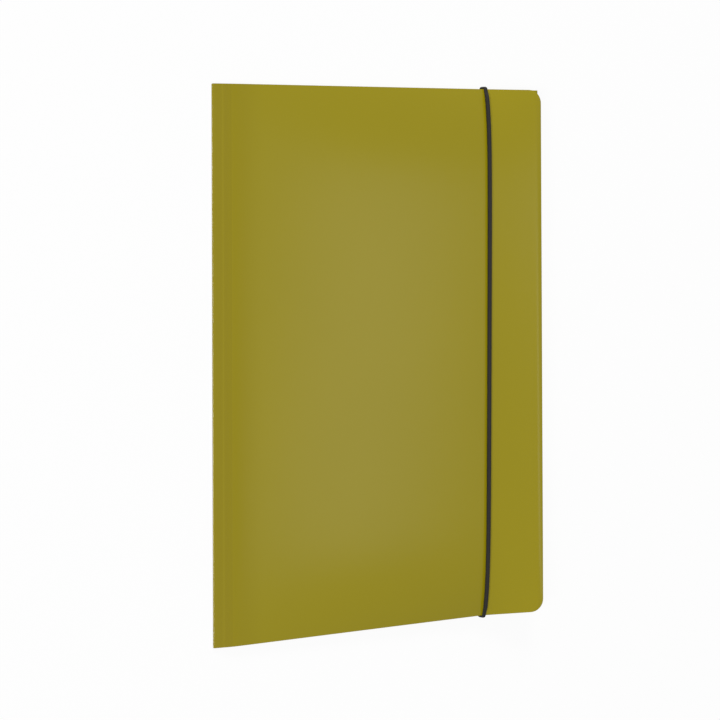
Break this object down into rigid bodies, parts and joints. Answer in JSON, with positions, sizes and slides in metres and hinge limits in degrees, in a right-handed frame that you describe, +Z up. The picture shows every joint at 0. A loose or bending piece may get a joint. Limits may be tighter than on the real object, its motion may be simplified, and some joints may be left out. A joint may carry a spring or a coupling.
{
  "type": "three flap folder",
  "caption": "Closed plastic document folder with inner flaps, held shut by a round elastic near its fore edge.",
  "frame": {"origin": "on the table under the middle of the folder, which lies closed on its back panel", "axes": "+X from the spine to the fore edge, +Y up the height of the folder, +Z up through the front cover"},
  "size_m": [0.2401, 0.3254, 0.0168],
  "materials": {
    "olive_film": "satin polypropylene film with a fine grain",
    "black_elastic": "braided round elastic",
    "barb_steel": "plain plated steel"
  },
  "bodies": {
    "root": {"folder": "olive_film", "elastic_band": "black_elastic", "top_end_barb": "barb_steel", "bottom_end_barb": "barb_steel"}
  },
  "joints": []
}
